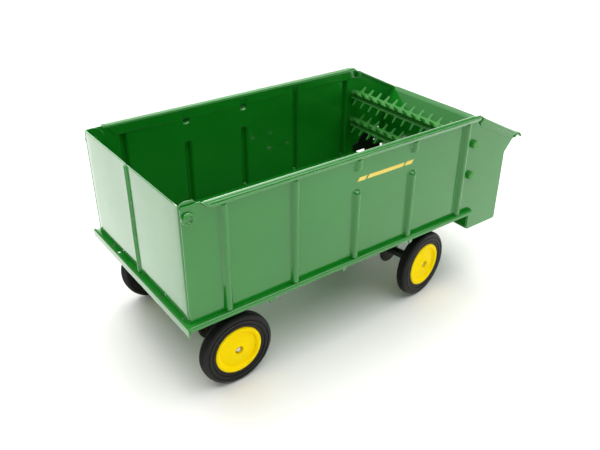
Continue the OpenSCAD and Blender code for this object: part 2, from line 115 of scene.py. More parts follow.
def enamel(name, dark, light, bare, rough=(0.13, 0.24), coat=0.8, wear=1.0, coat_rough=0.07, spec=0.35):
    m, nt, b = new_mat(name)
    co = nt.nodes.new("ShaderNodeTexCoord").outputs["Object"]
    big = noise_tex(nt, co, 14, 3)
    mid = noise_tex(nt, co, 95, 5)
    fine = noise_tex(nt, co, 900, 2)
    base = ramp(nt, big, [(0.3, dark), (0.7, light)])
    base = mixc(nt, mapr(nt, mid, 0.35, 0.7, 0.0, 0.18), base, dark)
    # thin scratches
    mp = N(nt, "ShaderNodeMapping"); nt.links.new(co, mp.inputs["Vector"])
    mp.inputs["Scale"].default_value = (30, 30, 420); mp.inputs["Rotation"].default_value = (0.3, 0.5, 0.2)
    scr = noise_tex(nt, mp.outputs[0], 3.0, 2, 0.5, 0.6)
    scr = mapr(nt, scr, 0.735, 0.76, 0, 1)
    patch = mapr(nt, noise_tex(nt, co, 40, 2), 0.5, 0.6, 0, 1)
    scr = math_n(nt, "MULTIPLY", scr, patch)
    # edges: the paint chips at convex edges, which also carry a painted highlight
    pt = nt.nodes.new("ShaderNodeNewGeometry").outputs["Pointiness"]
    edge = mapr(nt, pt, 0.53, 0.60, 0, 1)
    chip = mapr(nt, noise_tex(nt, co, 260, 4, 0.7), 0.60, 0.66, 0, 1)
    worn = math_n(nt, "MULTIPLY", math_n(nt, "MULTIPLY", edge, chip), 0.8*wear, True)
    # painted highlight: every convex edge lightened towards a brighter green
    base = mixc(nt, math_n(nt, "MULTIPLY", edge, 0.16), base, tuple(min(1, c*1.9 + 0.02) for c in light))
    base = mixc(nt, math_n(nt, "MULTIPLY", scr, 0.22*wear), base, tuple(min(1, c*2.2 + 0.03) for c in light))
    base = mixc(nt, worn, base, bare)
    # painted shade: hollows and creases darkened towards a deeper green
    hollow_shade_mask = mapr(nt, pt, 0.47, 0.42, 0, 1)
    base = mixc(nt, math_n(nt, "MULTIPLY", hollow_shade_mask, 0.10), base, tuple(c*0.4 for c in dark))
    nt.links.new(base, b.inputs["Base Color"])
    r = mapr(nt, mid, 0.3, 0.7, rough[0], rough[1])
    r = math_n(nt, "ADD", r, math_n(nt, "MULTIPLY", scr, 0.15), True)
    nt.links.new(r, b.inputs["Roughness"])
    b.inputs["Specular IOR Level"].default_value = spec
    b.inputs["Coat Weight"].default_value = coat; b.inputs["Coat Roughness"].default_value = coat_rough
    bp = bump(nt, b, fine, 0.12, 0.00004)
    bp = bump(nt, b, mid, 0.10, 0.00007, bp)
    bump(nt, b, math_n(nt, "MULTIPLY", math_n(nt, "ADD", scr, worn), -1.0), 0.35, 0.00003, bp)
    return m

def plastic(name, dark, light, rough=(0.3, 0.42), coat=0.0, spec=0.5, sss=0.0, grain=0.12):
    m, nt, b = new_mat(name)
    co = nt.nodes.new("ShaderNodeTexCoord").outputs["Object"]
    big = noise_tex(nt, co, 30, 4); mid = noise_tex(nt, co, 320, 4); fine = noise_tex(nt, co, 1600, 2)
    base = ramp(nt, big, [(0.3, dark), (0.7, light)])
    pt = nt.nodes.new("ShaderNodeNewGeometry").outputs["Pointiness"]
    # painted shade: hollows darkened towards a deeper tone
    base = mixc(nt, math_n(nt, "MULTIPLY", mapr(nt, pt, 0.47, 0.40, 0, 1), 0.55), base, tuple(c*0.45 for c in dark))
    # painted highlight: convex edges lightened towards a brighter tone
    base = mixc(nt, math_n(nt, "MULTIPLY", mapr(nt, pt, 0.53, 0.62, 0, 1), 0.25), base, tuple(min(1, c*1.25 + 0.02) for c in light))
    base = mixc(nt, mapr(nt, mid, 0.62, 0.72, 0, 0.25), base, tuple(c*0.6 for c in dark))
    nt.links.new(base, b.inputs["Base Color"])
    nt.links.new(mapr(nt, mid, 0.3, 0.7, rough[0], rough[1]), b.inputs["Roughness"])
    b.inputs["Specular IOR Level"].default_value = spec
    b.inputs["Coat Weight"].default_value = coat; b.inputs["Coat Roughness"].default_value = 0.1
    bp = bump(nt, b, fine, grain, 0.00004)
    bump(nt, b, mid, 0.2, 0.00006, bp)
    return m

def rubber(name):
    m, nt, b = new_mat(name)
    co = nt.nodes.new("ShaderNodeTexCoord").outputs["Object"]
    big = noise_tex(nt, co, 45, 5); mid = noise_tex(nt, co, 420, 4); fine = noise_tex(nt, co, 2400, 2)
    base = ramp(nt, big, [(0.3, (0.0045, 0.0045, 0.0047)), (0.72, (0.0095, 0.0093, 0.009))])
    # a little pale scuffing on raised edges, dust in the grooves
    pt = nt.nodes.new("ShaderNodeNewGeometry").outputs["Pointiness"]
    sc = math_n(nt, "MULTIPLY", mapr(nt, pt, 0.505, 0.56, 0, 1), mapr(nt, mid, 0.45, 0.7, 0, 1))
    base = mixc(nt, math_n(nt, "MULTIPLY", sc, 0.35), base, (0.045, 0.043, 0.040))
    base = mixc(nt, math_n(nt, "MULTIPLY", mapr(nt, pt, 0.49, 0.43, 0, 1), 0.25), base, (0.05, 0.047, 0.04))
    # the running surface is duller and darker than the moulded sides
    sn = nt.nodes.new("ShaderNodeSeparateXYZ"); nt.links.new(nt.nodes.new("ShaderNodeTexCoord").outputs["Normal"], sn.inputs[0])
    tread = mapr(nt, math_n(nt, "ABSOLUTE", sn.outputs[1], None), 0.35, 0.75, 1.0, 0.0)
    base = mixc(nt, math_n(nt, "MULTIPLY", tread, 0.75), base, (0.0025, 0.0025, 0.0027))
    nt.links.new(base, b.inputs["Base Color"])
    nt.links.new(math_n(nt, "ADD", mapr(nt, mid, 0.3, 0.7, 0.40, 0.54), math_n(nt, "MULTIPLY", tread, 0.3), True), b.inputs["Roughness"])
    b.inputs["Specular IOR Level"].default_value = 0.24
    bp = bump(nt, b, fine, 0.25, 0.00005)
    bump(nt, b, mid, 0.25, 0.00008, bp)
    return m

def metal(name, a, c, rough=(0.25, 0.45), spin=None):
    m, nt, b = new_mat(name)
    co = nt.nodes.new("ShaderNodeTexCoord").outputs["Object"]
    big = noise_tex(nt, co, 120, 5); fine = noise_tex(nt, co, 1500, 3)
    base = ramp(nt, big, [(0.32, a), (0.7, c)])
    base = mixc(nt, mapr(nt, noise_tex(nt, co, 380, 4, 0.7), 0.60, 0.72, 0, 0.45), base, (0.16, 0.09, 0.05))
    nt.links.new(base, b.inputs["Base Color"])
    b.inputs["Metallic"].default_value = 1.0
    nt.links.new(mapr(nt, big, 0.3, 0.7, rough[0], rough[1]), b.inputs["Roughness"])
    bump(nt, b, fine, 0.25, 0.00006)
    return m

GREEN_D, GREEN_L = (0.005, 0.190, 0.011), (0.007, 0.222, 0.014)
M_GREEN = enamel("green_enamel", GREEN_D, GREEN_L, (0.20, 0.19, 0.18))
M_NYLON = plastic("green_nylon", (0.035, 0.235, 0.035), (0.055, 0.300, 0.050), (0.34, 0.46), coat=0.0, spec=0.35)
M_BLACK = enamel("black_enamel", (0.0055, 0.0055, 0.006), (0.009, 0.009, 0.0095), (0.22, 0.21, 0.2), rough=(0.24, 0.38), coat=0.3)
M_BLKPL = plastic("black_plastic", (0.007, 0.007, 0.007), (0.012, 0.012, 0.012), (0.35, 0.5))
M_RUBBER = rubber("tyre_rubber")
M_YELLOW = plastic("yellow_hub", (0.97, 0.69, 0.0005), (1.0, 0.78, 0.001), (0.26, 0.36), coat=0.0, spec=0.03)
M_STEEL = metal("bare_steel", (0.50, 0.49, 0.47), (0.70, 0.69, 0.67))
M_PLATED = metal("plated_steel", (0.42, 0.42, 0.42), (0.62, 0.62, 0.61), (0.28, 0.42))
M_DECAL = plastic("yellow_decal", (0.80, 0.58, 0.06), (0.88, 0.66, 0.10), (0.3, 0.4), coat=0.3)

# ------------------------------------------------------------------ mesh tools
def finish_mesh(name, bm_or_data, mat, body, reps=(), smooth=32, raw=False):
    if isinstance(bm_or_data, bmesh.types.BMesh):
        me = bpy.data.meshes.new(name); bm_or_data.to_mesh(me); bm_or_data.free()
    else:
        v, f = bm_or_data
        me = bpy.data.meshes.new(name); me.from_pydata([tuple(p) for p in v], [], f); me.validate(); me.update()
    me.shade_smooth()
    me.set_sharp_from_angle(angle=math.radians(smooth))
    ob = bpy.data.objects.new(name, me); bpy.context.scene.collection.objects.link(ob)
    me.materials.clear(); me.materials.append(mat)
    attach(ob, body)
    if reps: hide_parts(*reps)
    return ob

def inside(poly, x, y):
    c = False
    for i in range(len(poly)):
        x0, y0 = poly[i]; x1, y1 = poly[i-1]
        if (y0 > y) != (y1 > y) and x < (x1 - x0)*(y - y0)/(y1 - y0) + x0: c = not c
    return c

def flat_grid(us, vs, outline, holes=()):
    """2-D mesh in (u, v), cut to the outline, with round holes (u, v, r)."""
    us = sorted(set(round(u, 4) for u in us)); vs = sorted(set(round(v, 4) for v in vs))
    bm = bmesh.new()
    vv = [[bm.verts.new((u, v, 0)) for v in vs] for u in us]
    for i in range(len(us)-1):
        for j in range(len(vs)-1):
            bm.faces.new((vv[i][j], vv[i+1][j], vv[i+1][j+1], vv[i][j+1]))
    for i in range(len(outline)):
        a, b = Vector((*outline[i-1], 0)), Vector((*outline[i], 0))
        d = b - a
        if d.length < 1e-6: continue
        lo = (min(a.x, b.x) - 0.01, min(a.y, b.y) - 0.01); hi = (max(a.x, b.x) + 0.01, max(a.y, b.y) + 0.01)
        fs = []
        for f in bm.faces:
            xs = [v.co.x for v in f.verts]; ys = [v.co.y for v in f.verts]
            if max(xs) >= lo[0] and min(xs) <= hi[0] and max(ys) >= lo[1] and min(ys) <= hi[1]: fs.append(f)
        es = list({e for f in fs for e in f.edges}); vs_ = list({v for f in fs for v in f.verts})
        bmesh.ops.bisect_plane(bm, geom=fs + es + vs_, dist=0.002, plane_co=a, plane_no=Vector((-d.y, d.x, 0)).normalized())
    bad = []
    for f in bm.faces:
        c = f.calc_center_median()
        if not inside(outline, c.x, c.y): bad.append(f)
    bmesh.ops.delete(bm, geom=bad, context="FACES")
    for (hu, hv, r) in holes:
        h = r*1.9
        for a, n in (((hu - h, 0), (1, 0)), ((hu + h, 0), (1, 0)), ((0, hv - h), (0, 1)), ((0, hv + h), (0, 1))):
            fs = [f for f in bm.faces if any(abs(v.co.x - hu) < 3*h + 6 and abs(v.co.y - hv) < 3*h + 6 for v in f.verts)]
            es = list({e for f in fs for e in f.edges}); vs_ = list({v for f in fs for v in f.verts})
            bmesh.ops.bisect_plane(bm, geom=fs + es + vs_, dist=0.002, plane_co=(a[0], a[1], 0), plane_no=(n[0], n[1], 0))
        fs = [f for f in bm.faces if (lambda c: abs(c.x - hu) < h and abs(c.y - hv) < h)(f.calc_center_median())]
        if not fs: continue
        reg = bmesh.ops.region_extend  # keep only the outer loop of the square
        loop = [e for e in {e for f in fs for e in f.edges} if sum(1 for f in e.link_faces if f in fs) == 1]
        bmesh.ops.delete(bm, geom=fs, context="FACES")
        loop = [e for e in loop if e.is_valid]
        ring = [bm.verts.new((hu + r*math.cos(2*math.pi*k/32), hv + r*math.sin(2*math.pi*k/32), 0)) for k in range(32)]
        redges = [bm.edges.new((ring[k], ring[(k+1) % 32])) for k in range(32)]
        bmesh.ops.triangle_fill(bm, use_beauty=True, use_dissolve=False, edges=loop + redges)
    bmesh.ops.delete(bm, geom=[v for v in bm.verts if not v.link_faces], context="VERTS")
    bmesh.ops.recalc_face_normals(bm, faces=bm.faces)
    if sum(f.normal.z for f in bm.faces) < 0: bmesh.ops.reverse_faces(bm, faces=bm.faces)
    bm.verts.ensure_lookup_table(); bm.verts.index_update()
    return bm

def sheet(bm, P, t=T, rim=0.22, nrim=4):
    """Turns a flat (u, v) mesh into a sheet of thickness t about the surface P(u, v), with rounded edges. Returns verts, faces in mm."""
    e = 0.02
    vs = [v.co.copy() for v in bm.verts]
    pos, nor, tu, tv = [], [], [], []
    for c in vs:
        p = Vector(P(c.x, c.y))
        du = (Vector(P(c.x + e, c.y)) - Vector(P(c.x - e, c.y)))/(2*e)
        dv = (Vector(P(c.x, c.y + e)) - Vector(P(c.x, c.y - e)))/(2*e)
        n = du.cross(dv)
        n = n.normalized() if n.length > 1e-9 else Vector((0, 0, 1))
        pos.append(p); nor.append(n); tu.append(du); tv.append(dv)
    n = len(vs)
    verts = [pos[i] + nor[i]*t/2 for i in range(n)] + [pos[i] - nor[i]*t/2 for i in range(n)]
    faces = []
    for f in bm.faces:
        ids = [v.index for v in f.verts]
        faces.append(ids); faces.append([i + n for i in reversed(ids)])
    # outward direction in the sheet at each boundary vertex
    out = {}
    bedges = []
    for ed in bm.edges:
        if len(ed.link_faces) != 1: continue
        f = ed.link_faces[0]; a, b = ed.verts
        loop = [l for l in f.loops if l.edge == ed][0]
        a, b = loop.vert, loop.link_loop_next.vert
        d = (b.co - a.co); o = Vector((d.y, -d.x, 0))
        if o.length < 1e-9: continue
        o.normalize()
        for v in (a, b): out.setdefault(v.index, []).append(o)
        bedges.append((a.index, b.index))
    ringi = {}
    for i, os in out.items():
        o = sum(os, Vector()); o = o.normalized() if o.length > 1e-6 else os[0]
        w = tu[i]*o.x + tv[i]*o.y
        w = w.normalized() if w.length > 1e-9 else Vector()
        idx = [i]
        for k in range(1, nrim):
            a = math.pi*k/nrim
            verts.append(pos[i] + nor[i]*(t/2*math.cos(a)) + w*(rim*math.sin(a))); idx.append(len(verts)-1)
        idx.append(i + n)
        ringi[i] = idx
    for a, b in bedges:
        A, B = ringi[a], ringi[b]
        for k in range(nrim): faces.append([A[k], A[k+1], B[k+1], B[k]])
    bm.free()
    return verts, faces

def place(verts, mirror=False):
    return [MM((v[0], -v[1], v[2]) if mirror else v) for v in verts]

def fillet(path, r, n=6):
    """2-D path with its inner corners rounded; r is a number or a list."""
    out = [Vector(path[0])]
    for i in range(1, len(path)-1):
        p0, p1, p2 = Vector(path[i-1]), Vector(path[i]), Vector(path[i+1])
        a, b = (p0 - p1), (p2 - p1)
        ri = r[i] if isinstance(r, (list, tuple)) else r
        ang = a.angle(b)
        if ri <= 0 or ang > math.pi - 0.02: out.append(p1); continue
        d = min(ri/math.tan(ang/2), a.length*0.48, b.length*0.48)
        ri = d*math.tan(ang/2)
        s, e_ = p1 + a.normalized()*d, p1 + b.normalized()*d
        c = p1 + (a.normalized() + b.normalized()).normalized()*(ri/math.sin(ang/2))
        v0, v1 = s - c, e_ - c
        tot = v0.angle(v1); sg = 1 if v0.x*v1.y - v0.y*v1.x > 0 else -1
        for k in range(n+1):
            t = sg*tot*k/n
            out.append(c + Vector((v0.x*math.cos(t) - v0.y*math.sin(t), v0.x*math.sin(t) + v0.y*math.cos(t))))
    out.append(Vector(path[-1]))
    return out

class Path:
    """A 2-D path by arc length."""
    def __init__(self, pts):
        self.p = [Vector(q) for q in pts]; self.s = [0.0]
        for a, b in zip(self.p, self.p[1:]): self.s.append(self.s[-1] + (b - a).length)
        self.L = self.s[-1]
    def __call__(self, s):
        if s <= 0:
            d = (self.p[1] - self.p[0]).normalized(); return self.p[0] + d*s
        if s >= self.L:
            d = (self.p[-1] - self.p[-2]).normalized(); return self.p[-1] + d*(s - self.L)
        lo, hi = 0, len(self.s)-1
        while hi - lo > 1:
            m = (lo + hi)//2
            if self.s[m] <= s: lo = m
            else: hi = m
        return self.p[lo].lerp(self.p[hi], (s - self.s[lo])/max(1e-9, self.s[hi] - self.s[lo]))
    def at_x(self, x):
        for a, b, sa, sb in zip(self.p, self.p[1:], self.s, self.s[1:]):
            if (a.x - x)*(b.x - x) <= 0 and abs(b.x - a.x) > 1e-9: return sa + (sb - sa)*(x - a.x)/(b.x - a.x)

def lin(a, b, step):
    n = max(1, int(math.ceil(abs(b - a)/step))); return [a + (b - a)*k/n for k in range(n+1)]

def lathe(profile, n=128, close=True):
    """profile: list of (r, h); turned about +Z. Returns verts, faces in mm."""
    verts, faces = [], []
    m = len(profile)
    for k in range(n):
        a = 2*math.pi*k/n
        for r, h in profile: verts.append(Vector((r*math.cos(a), r*math.sin(a), h)))
    for k in range(n):
        k2 = (k+1) % n
        for i in range(m if close else m-1):
            j = (i+1) % m
            if profile[i][0] < 1e-6 and profile[j][0] < 1e-6: continue
            faces.append([k*m + i, k2*m + i, k2*m + j, k*m + j])
    return verts, faces

def weld(verts, faces, dist=1e-4):
    bm = bmesh.new()
    vv = [bm.verts.new(v) for v in verts]
    for f in faces:
        try: bm.faces.new([vv[i] for i in f])
        except ValueError: pass
    bmesh.ops.remove_doubles(bm, verts=bm.verts, dist=dist)
    bmesh.ops.dissolve_degenerate(bm, dist=dist, edges=bm.edges)
    bmesh.ops.recalc_face_normals(bm, faces=bm.faces)
    return bm

def smooth_profile(pts, r=0.25, n=3):
    """Closed profile with every corner rounded."""
    out = []
    m = len(pts)
    for i in range(m):
        p0, p1, p2 = Vector(pts[i-1]), Vector(pts[i]), Vector(pts[(i+1) % m])
        a, b = p0 - p1, p2 - p1
        ang = a.angle(b)
        if ang > math.pi - 0.12 or min(p1.x, 1) < 1e-6: out.append(p1); continue
        d = min(r/math.tan(ang/2), a.length*0.42, b.length*0.42)
        s, e_ = p1 + a.normalized()*d, p1 + b.normalized()*d
        for k in range(n+1):
            t = k/n; out.append(s*(1-t)**2 + p1*2*t*(1-t) + e_*t*t)
    return [(p.x, p.y) for p in out]

# ------------------------------------------------------------------ side walls
R1 = 1.2
Z0 = TOP - T/2 - R1
prof = fillet([(0, 130), (0, TOP - T/2), (RAIL - T/2 - 1.1, TOP - T/2), (RAIL - T/2, TOP - T/2), (RAIL - T/2 - 2.3, TOP - LIP - 0.1)], [0, R1, 0, 0.3, 0], 7)
RAILP = Path([(p.x, p.y) for p in prof])           # (outward, z)
S_OFF = 130.0                                       # v = 130 at the path's start
VEND = S_OFF + RAILP.L
def rib_h(x, z, cut):
    h = 0.0
    for i, cx in enumerate(RIBS):
        d = abs(x - cx)
        if d > 3.6: continue
        h = RIB_D*(0.5 + 0.5*math.cos(math.pi*min(1, max(0, (d - 0.65)/2.7))))
        zz = [(BED - 0.7, 113.6), (127.0, 137.0)] if i in cut else [(BED - 0.7, 137.0)]
        w = 0
        for a, b in zz: w = max(w, math.sqrt(max(0, sstep(a, a + (1.5 if a < 70 else 2.6), z)*(1 - sstep(b - 2.6, b, z)))))
        h *= w
    return h
def wall_o(x, z, cut):
    # a short recess between the end of the rail and the strip along the sloping edge
    o = -2.2*sstep(232.8, 233.5, x)*(1 - sstep(236.0, 236.7, x))*sstep(131.6, 132.6, z)
    r = rib_h(x, z, cut)
    wave = 0.16*(noise.noise(Vector((x*0.021, z*0.03, 3.1 + len(cut)*cut[0]))))*sstep(0, 12, x)*sstep(BED, BED + 8, z)
    return o + r + wave*(1 - min(1, r)), 0
def side_P(cut):
    def P(u, v):
        w = sstep(11.8, 12.3, u)*(1 - sstep(231.9, 232.4, u))
        o, _ = wall_o(u, min(v, 137.0), cut)
        if v <= S_OFF: return (u, HW - T/2 + o, v)
        q = RAILP(v - S_OFF)
        so, sz = o, v
        bo, bz = q.x + o if v < Z0 else q.x + o*(1 - sstep(Z0, TOP, v)), q.y
        return (u, HW - T/2 + lerp(so, bo, w), lerp(sz, bz, w))
    return P
def side_wall(name, drop, cut, mirror, holes):
    us = lin(0, 11.6, 3) + lin(11.6, 12.8, 0.15) + lin(13, 22, 3) + lin(22, 231.6, 7) + lin(231.6, 237, 0.25) + lin(237, 280, 2.5)
    for cx in RIBS: us += [cx + d for d in (-3.6, -3.3, -3.0, -2.6, -2.2, -1.8, -1.4, -1.0, -0.5, 0, 0.5, 1.0, 1.4, 1.8, 2.2, 2.6, 3.0, 3.3, 3.6)]
    us = sorted(u for u in us if 0 <= u <= 280)
    us = [u for i, u in enumerate(us) if i == 0 or u - us[i-1] > 0.12]
    vs = lin(45.3, BED, 4) + lin(BED, 68, 0.45) + lin(68, 110, 4.5) + lin(110.5, 114.5, 0.4) + lin(114.5, 126, 4) + lin(126, 131.8, 0.45) + lin(131.8, 134.2, 0.9) + lin(134.2, Z0, 0.35) + [S_OFF + s for s in RAILP.s]
    vs = sorted(vs); vs = [v for i, v in enumerate(vs) if i == 0 or v - vs[i-1] > 0.1]
    if drop: low = [(FX + 0.05, 46.6), (FX - 0.3, 45.7), (FX - 1.2, 45.35), (BEDL + 2.2, 45.35), (BEDL + 1.3, 46.0), (BEDL + 1.05, 47), (BEDL + 1.05, BED + 0.02), (0.0, BED + 0.02)]
    else: low = [(FX, BED + 0.02), (0.0, BED + 0.02)]
    outl = low + [(0.0, TOP - 1.4), (0.5, TOP - 0.4), (1.4, TOP - 0.02), (12.3, TOP - 0.02), (12.5, TOP + 3.0), (12.9, VEND - LIP - 0.4), (17.2, VEND), (231.0, VEND), (231.3, VEND - 0.4), (231.5, TOP + 3.0),
        (231.9, TOP - 0.02), (232.6, TOP - 1.2), (233.3, 137.3), (235.6, 136.2), (BEDL + 0.5, edge_z(BEDL + 0.5) - 0.3), (277.9, edge_z(277.9) - 0.3), (278.6, 114.2), (278.3, 113.2), (276.3, 111.8), (FX - 0.8, 101.7)]
    bm = flat_grid(us, vs, outl, holes)
    V, F = sheet(bm, side_P(cut))
    return finish_mesh(name, (place(V, mirror), [list(reversed(f)) for f in F] if mirror else F), M_GREEN, "box", reps=(name.replace("_shell", ""),), smooth=38)
def inner_band(name, mirror, cut):
    """Doubled strip: inside the top of the wall, over the bend and on to the rail."""
    W0 = side_P([9])
    vend = S_OFF + RAILP.at_x(2.75)
    ss = [S_OFF + q for q in RAILP.s if 137.6 < S_OFF + q < vend]
    us = lin(12, 22, 0.8) + lin(22, 232, 7)
    bm = flat_grid(us, lin(BAND, 137.6, 1.2) + ss + [vend - 0.3, vend], [(20.6, BAND), (231.4, BAND), (231.4, vend), (13.2, vend), (13.4, 139.4), (14.4, 138.2)])
    def P(u, v):
        e = 0.02
        p = Vector(W0(u, v)); d = Vector(W0(u, v + e)) - Vector(W0(u, v - e))
        n = Vector((0, -d.z, d.y)).normalized()
        return tuple(p + n*(T/2 + 0.15))
    V, F = sheet(bm, P, 0.34, 0.14, 3)
    return finish_mesh(name, (place(V, mirror), [list(reversed(f)) for f in F] if mirror else F), M_GREEN, "box", smooth=38)
def hood_strip(name, mirror):
    """Strip folded over the sloping edge and down its outer side."""
    pp = Path([(p.x, p.y) for p in fillet([(-T - 0.28, 1.6), (-T - 0.28, -0.3), (0.95, -0.3), (0.95, 2.2), (0.3, 2.75), (0.3, 5.5)], [0, 0.35, 0.6, 0.2, 0.2, 0], 4)])
    L = (278.6 - 236.1)/math.cos(SLOPE)
    ca, sa = math.cos(SLOPE), math.sin(SLOPE)
    bm = flat_grid(lin(0, L, 3), pp.s, [(0.9, 0), (L, 0), (L, pp.L - 2.7), (L - 1.6, pp.L), (2.2, pp.L), (0.7, pp.L - 1.5), (0.7, 3)])
    def P(u, v):
        o, d = pp(v)
        return (236.1 + u*ca - d*sa, HW + o, edge_z(236.1) - u*sa - d*ca)
    V, F = sheet(bm, P, 0.5, 0.2, 4)
    return finish_mesh(name, (place(V, mirror), [list(reversed(f)) for f in F] if mirror else F), M_GREEN, "box", smooth=38)
BH = [(231.0, 117.5, 3.08), (231.0, 93.2, 3.08)]
side_wall("side_panel_right_shell", True, [2, 3], True, BH)
side_wall("side_panel_left_shell", False, [1, 2], False, BH + [(262.6, 80.7, 0.9), (258.6, 69.6, 0.9)])
for nm, mir in (("right", True), ("left", False)):
    inner_band(f"side_band_{nm}", mir, None)
    hood_strip(f"slope_strip_{nm}", mir)

# ------------------------------------------------------------------ swept sheets across the box
def swept(name, pts, radii, y0, y1, body, mat, reps, outl=None, t=T, wave=0.0, step=8, smooth=38, seg=7, holes=()):
    path = Path([(p.x, p.y) for p in fillet(pts, radii, seg)])
    us = lin(y0, y1, step); vs = sorted(set(round(s, 4) for s in path.s))
    vv = []
    for a, b in zip(vs, vs[1:]): vv += lin(a, b, 6)
    outline = outl(path) if outl else [(y0, 0), (y1, 0), (y1, path.L), (y0, path.L)]
    bm = flat_grid(us, vv, outline, holes)
    def P(u, v):
        q = path(v)
        w = wave*noise.noise(Vector((u*0.03, v*0.04, 7.7)))*sstep(y0, y0 + 12, u)*(1 - sstep(y1 - 12, y1, u)) if wave else 0
        return (q.x + w, u, q.y)
    V, F = sheet(bm, P, t)
    return finish_mesh(name, (place(V), F), mat, body, reps, smooth)
YI = HW - T
def front_outline(path):
    s1 = path.at_x(276.2)
    return [(-YI, 0), (YI, 0), (YI, s1 - 0.4), (YI + 2.1, s1 + 0.6), (YI + 2.4, s1 + 1.2), (YI + 2.4, path.L), (-YI - 2.4, path.L), (-YI - 2.4, s1 + 1.2), (-YI - 2.1, s1 + 0.6), (-YI, s1 - 0.4)]
swept("front_panel_sheet", [(FX - T/2, 45.4), (FX - T/2 - 0.8, 101.9), (FX + 8.0, 112.6), (FX + 10.4, 114.5), (FX + 12.5, 114.5), (FX + 15.0, 111.9), (FX + 14.39, 111.31), (FX + 11.8, 113.4)],
      [0, 3.0, 1.5, 1.2, 1.4, 0.42, 0.42, 0], -HW - 1.6, HW + 1.6, "box", M_GREEN, ("front_panel",), outl=front_outline, wave=0.25, step=5, t=0.8)
swept("trough_sheet", [(BEDL + T/2, BED - T), (BEDL + T/2, 45.3 + T/2), (FX - T - 0.1, 45.3 + T/2)], [0, 1.4, 0], -YI, YI, "box", M_GREEN, ("trough_pan",), wave=0.1)

# ------------------------------------------------------------------ bed
def bed():
    e = 3.9
    zc = BED - T/2
    yo = HW + e - T/2
    path = Path([(p.x, p.y) for p in fillet([(-yo, BED - 2.8), (-yo, zc), (yo, zc), (yo, BED - 2.8)], 1.1, 6)])
    us = lin(-2.4, BEDL + T, 8); vs = sorted(path.s)
    vv = []
    for a, b in zip(vs, vs[1:]): vv += lin(a, b, 7)
    sl = path.L
    outl = [(-2.4, 0), (BEDL - 0.3, 0), (BEDL - 0.3, 2.2), (BEDL + T, 3.6), (BEDL + T, sl - 3.6), (BEDL - 0.3, sl - 2.2), (BEDL - 0.3, sl), (-2.4, sl)]
    def P(u, v):
        q = path(v)
        w = 0.18*noise.noise(Vector((u*0.02, v*0.025, 1.3)))*sstep(0, 15, u)*sstep(8, 18, v)*(1 - sstep(sl - 18, sl - 8, v))
        return (u, q.x, q.y + w)
    V1, F1 = sheet(flat_grid(us, vv, outl), lambda u, v: P(u, v))
    # sheet() pushes to the normal side; the tray's two faces are symmetric about the middle surface
    p2 = Path([(p.x, p.y) for p in fillet([(-2.2, zc), (-3.7 + T/2, zc), (-3.7 + T/2, BED - 5.4)], 1.0, 6)])
    us2 = lin(-HW - e + 0.1, HW + e - 0.1, 6)
    V2, F2 = sheet(flat_grid(us2, p2.s, [(-HW - e + 0.1, 0), (HW + e - 0.1, 0), (HW + e - 0.1, p2.L), (-HW - e + 0.1, p2.L)]),
                   lambda u, v: (p2(v).x + 0.12*noise.noise(Vector((u*0.05, 0, 9))), u, p2(v).y))
    n = len(V1)
    V = V1 + V2; F = F1 + [[i + n for i in f] for f in F2]
    ob = finish_mesh("bed_tray", (place(V), F), M_GREEN, "box", ("bed_pan",), 38)
    return ob
BEDOB = bed()
def cutter(name, x, y, z, r, h, axis="Z"):
    V, F = lathe([(0, -h/2), (r, -h/2), (r, h/2), (0, h/2)], 40, False)
    bm = weld(V, F)
    me = bpy.data.meshes.new(name); bm.to_mesh(me); bm.free()
    ob = bpy.data.objects.new(name, me); bpy.context.scene.collection.objects.link(ob)
    me.transform(Matrix.Scale(0.001, 4)); me.transform(Matrix.Translation(MM((x, y, z))))
    return ob
def drill(ob, cutters):
    for c in cutters:
        md = ob.modifiers.new("d", "BOOLEAN"); md.operation = "DIFFERENCE"; md.object = c; md.solver = "EXACT"; md.use_self = True
        bpy.context.view_layer.objects.active = ob
        with bpy.context.temp_override(object=ob, active_object=ob, selected_objects=[ob]):
            bpy.ops.object.modifier_apply(modifier=md.name)
        bpy.data.objects.remove(c)
    ob.data.shade_smooth(); ob.data.set_sharp_from_angle(angle=math.radians(38))
drill(BEDOB, [cutter("c1", -1.3, 31, BED, 1.25, 8), cutter("c2", -1.3, -31, BED, 1.25, 8)])

def tabs():
    for s, nm in ((-1, "right"), (1, "left")):
        V, F = [], []
        for x in (56.6, 115.0, 176.0):
            # a tab that passes down through the bed and is twisted a little to lock it
            bmv = flat_grid(lin(-2.3, 2.3, 1.15), lin(0, 8.8, 0.8), [(-2.3, 0.0), (2.3, 0.0), (2.3, 7.8), (1.5, 8.6), (-1.5, 8.6), (-2.3, 7.8)])
            def P(u, v, x=x):
                a = math.radians(16)*sstep(1.4, 5.5, v)
                return (x + u*math.cos(a), s*(HW - T/2 + 0.0) + u*math.sin(a), BED + 0.2 - v)
            v1, f1 = sheet(bmv, P)
            n = len(V); V += v1; F += [[i + n for i in f] for f in f1]
        bm = weld(place(V), F, 1e-7)
        finish_mesh(f"bed_tabs_{nm}", bm, M_GREEN, "box")
tabs()

